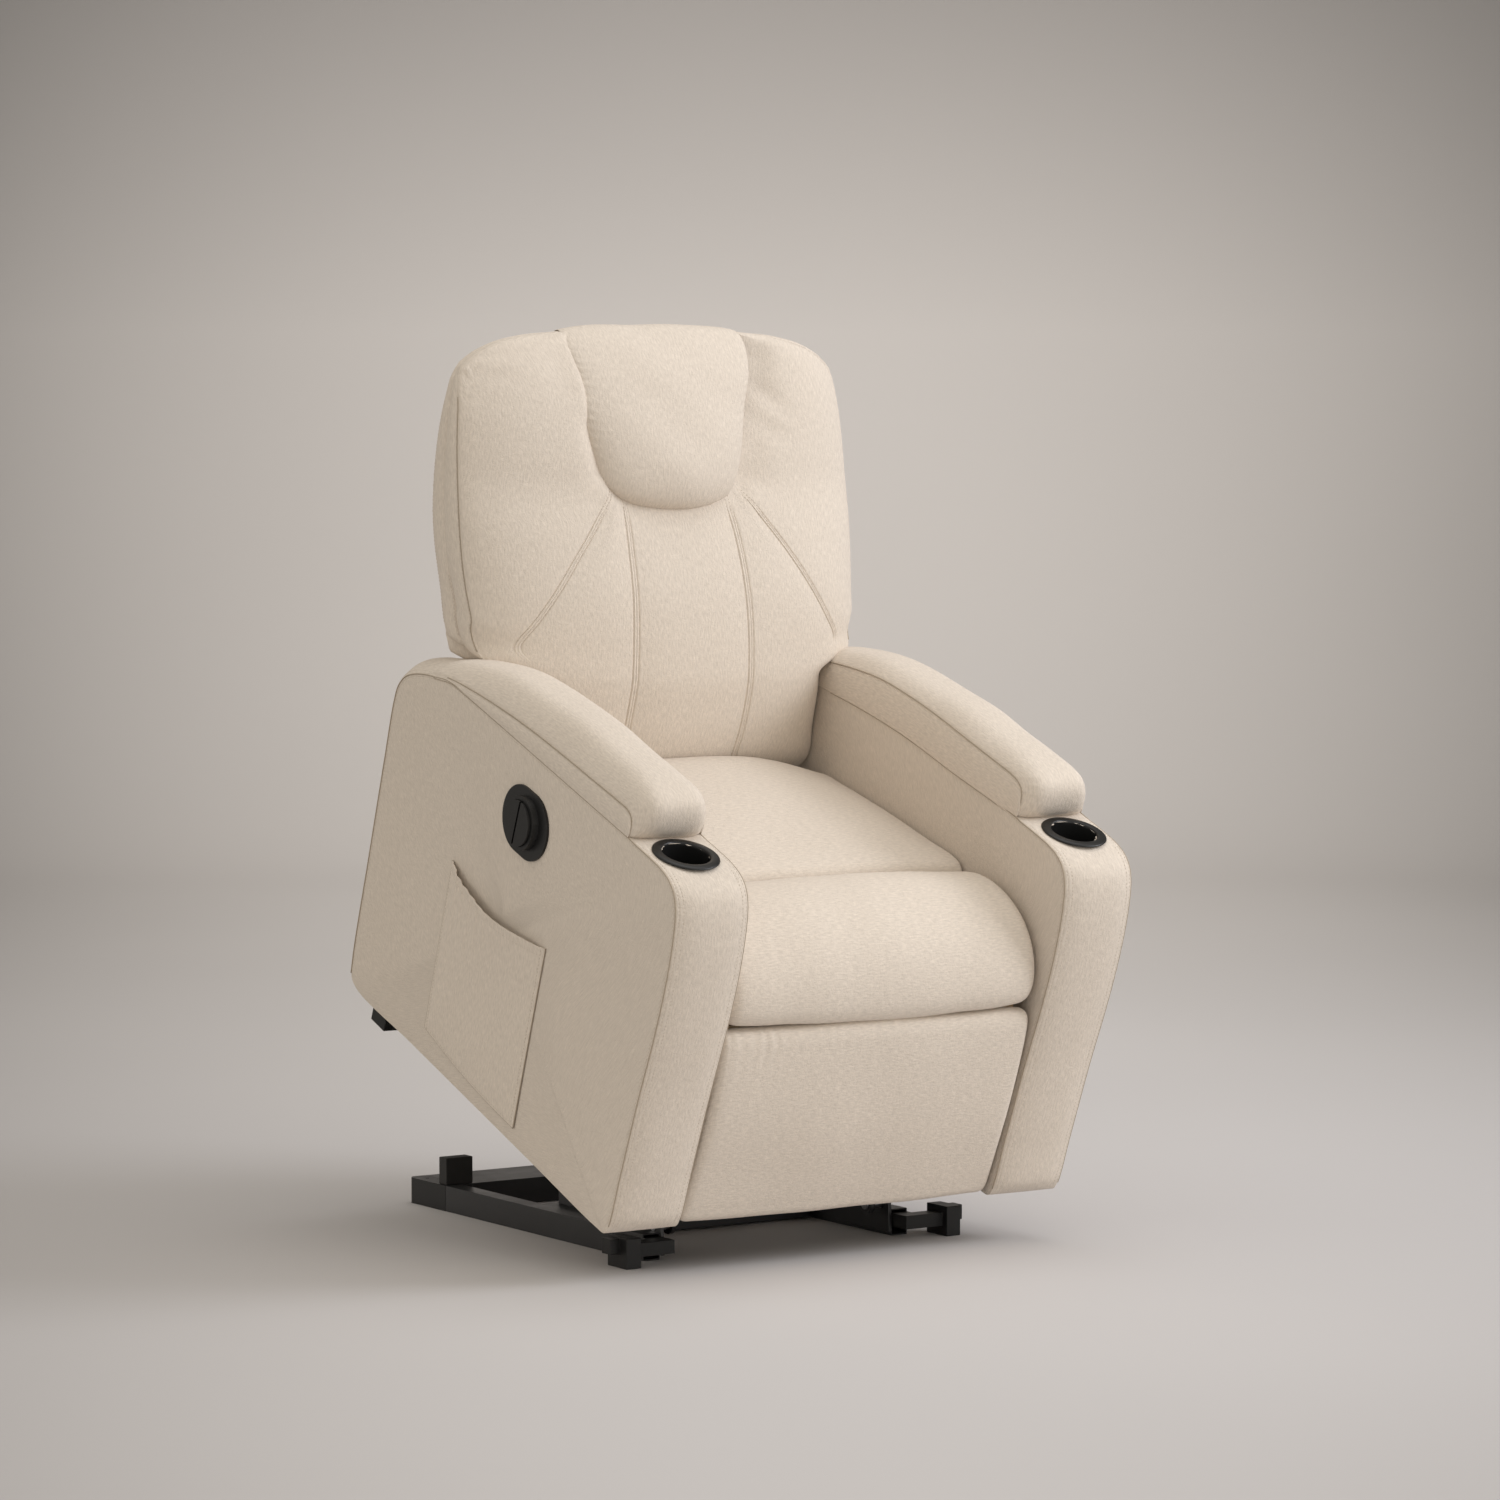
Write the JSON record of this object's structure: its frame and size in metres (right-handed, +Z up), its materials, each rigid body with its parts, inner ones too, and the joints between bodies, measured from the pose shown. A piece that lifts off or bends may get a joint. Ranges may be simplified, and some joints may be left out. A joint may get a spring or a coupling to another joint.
{
  "type": "lift recliner chair",
  "caption": "Upholstered powered recliner on a lift-and-tilt base, raised and tipped forward, with folding footrest, cup holders, side pocket and two-button side control.",
  "frame": {"origin": "on the floor at the middle of the rear crossbar's underside", "axes": "+Z up, -Y the way the sitter faces, +X towards the sitter's left"},
  "size_m": [0.793, 1.0186, 1.3413],
  "materials": {
    "steel_black": "satin black powder coat",
    "pin_steel": "brushed",
    "plastic_black": "satin",
    "gloss_black": "gloss",
    "rubber_black": "matte",
    "plywood": "matte",
    "cover_cloth": "woven, matte",
    "cushion_cloth": "woven, matte",
    "pocket_cloth": "woven, matte",
    "spring_wire": "satin",
    "motor_case": "satin"
  },
  "bodies": {
    "base": {"rail_left": "steel_black", "rail_right": "steel_black", "rear_crossbar": "steel_black", "crossbar_cap_left": "plastic_black", "crossbar_cap_right": "plastic_black", "bumper_left": "rubber_black", "bumper_right": "rubber_black", "base_cross_tube": "steel_black", "base_plate": "steel_black", "power_supply": "motor_case", "power_inlet": "plastic_black", "front_foot_left": "plastic_black", "front_foot_right": "plastic_black", "pivot_brackets": "steel_black", "base_pins": "pin_steel"},
    "lift_links": {"lift_arms": "steel_black", "torque_tube": "steel_black"},
    "front_links": {"front_link_left": "steel_black", "front_link_right": "steel_black"},
    "lift_motor": {"lift_actuator": "motor_case"},
    "lift_ram": {"lift_rod": "pin_steel"},
    "carriage": {"carriage_rails": "steel_black", "carriage_uprights": "steel_black", "carriage_cross_bars": "steel_black", "carriage_brackets": "steel_black", "carriage_pins": "pin_steel", "seat_side_rails": "plywood", "seat_end_rails": "plywood", "seat_springs": "spring_wire", "seat_cushion": "cushion_cloth", "seat_roll": "cushion_cloth", "arm_cover_left": "cover_cloth", "arm_cover_right": "cover_cloth", "arm_board_left": "plywood", "arm_board_right": "plywood", "arm_pad_left": "cushion_cloth", "arm_pad_right": "cushion_cloth", "cup_holder_left": "gloss_black", "cup_holder_right": "gloss_black", "side_pocket": "pocket_cloth", "control_plate": "gloss_black", "rear_foot_left": "plastic_black", "rear_foot_right": "plastic_black", "rear_skirt": "cover_cloth"},
    "up_button": {"button_up": "gloss_black"},
    "down_button": {"button_down": "gloss_black"},
    "recline_motor": {"recline_actuator": "motor_case"},
    "recline_ram": {"recline_rod": "pin_steel"},
    "back": {"back_board": "plywood", "back_brackets": "steel_black", "back_cushion": "cushion_cloth", "headrest_pillow": "cushion_cloth", "back_cover": "cover_cloth"},
    "leg_rear": {"leg_links_rear": "steel_black"},
    "leg_front": {"leg_links_front": "steel_black"},
    "footrest": {"footrest_board": "plywood", "footrest_brackets": "steel_black", "footrest_glides": "plastic_black", "footrest_pad": "cushion_cloth"}
  },
  "joints": [
    {"name": "lift", "type": "hinge", "parent": "base", "child": "lift_links", "pos_m": [0, -0.522, 0.07], "axis": [1, 0, 0], "range_deg": [-40.98, 0]},
    {"name": "carriage_tilt", "type": "hinge", "parent": "lift_links", "child": "carriage", "pos_m": [0, -0.29883, 0.35391], "axis": [1, 0, 0], "range_deg": [0, 19.39]},
    {"name": "front_link_swing", "type": "hinge", "parent": "base", "child": "front_links", "pos_m": [0, -0.596, 0.047], "axis": [1, 0, 0], "range_deg": [-53.21, 0]},
    {"name": "lift_motor_tilt", "type": "hinge", "parent": "base", "child": "lift_motor", "pos_m": [0, -0.076, 0.062], "axis": [1, 0, 0], "range_deg": [0, 5.14]},
    {"name": "lift_ram_slide", "type": "slide", "parent": "lift_motor", "child": "lift_ram", "axis": [0, -0.9678, 0.2517], "range_m": [-0.06478, 0]},
    {"name": "recline", "type": "hinge", "parent": "carriage", "child": "back", "pos_m": [0, -0.20638, 0.71532], "axis": [-1, 0, 0], "range_deg": [0, 30]},
    {"name": "recline_motor_tilt", "type": "hinge", "parent": "carriage", "child": "recline_motor", "pos_m": [0, -0.59605, 0.27064], "axis": [1, 0, 0], "range_deg": [0, 4.8]},
    {"name": "recline_ram_slide", "type": "slide", "parent": "recline_motor", "child": "recline_ram", "axis": [0, 0.8447, 0.5353], "range_m": [-0.07775, 0]},
    {"name": "leg_rear_swing", "type": "hinge", "parent": "carriage", "child": "leg_rear", "pos_m": [0, -0.68303, 0.35451], "axis": [-1, 0, 0], "range_deg": [0, 67.31]},
    {"name": "leg_front_swing", "type": "hinge", "parent": "leg_rear", "child": "leg_front", "pos_m": [0, -0.60062, 0.15053], "axis": [1, 0, 0], "range_deg": [0, 86.51]},
    {"name": "footrest_tilt", "type": "hinge", "parent": "leg_front", "child": "footrest", "pos_m": [0, -0.78449, 0.27132], "axis": [-1, 0, 0], "range_deg": [0, 99.21]},
    {"name": "up_button_press", "type": "slide", "parent": "carriage", "child": "up_button", "axis": [1, 0, 0], "range_m": [0, 0.003], "stiffness_N_per_m": 400, "springref_m": -0.002},
    {"name": "down_button_press", "type": "slide", "parent": "carriage", "child": "down_button", "axis": [1, 0, 0], "range_m": [0, 0.003], "stiffness_N_per_m": 400, "springref_m": -0.002}
  ],
  "couplings": [
    {"joint": "carriage_tilt", "follows": "lift", "ratio": -0.47286},
    {"joint": "front_link_swing", "follows": "lift", "ratio": 1.2983},
    {"joint": "lift_motor_tilt", "follows": "lift", "ratio": -0.12523},
    {"joint": "lift_ram_slide", "follows": "lift", "m_per_rad": 0.090435},
    {"joint": "recline_motor_tilt", "follows": "recline", "ratio": 0.15977},
    {"joint": "recline_ram_slide", "follows": "recline", "m_per_rad": -0.1483},
    {"joint": "leg_rear_swing", "follows": "recline", "ratio": 2.2433},
    {"joint": "leg_front_swing", "follows": "recline", "ratio": 2.8833},
    {"joint": "footrest_tilt", "follows": "recline", "ratio": 3.3067}
  ]
}
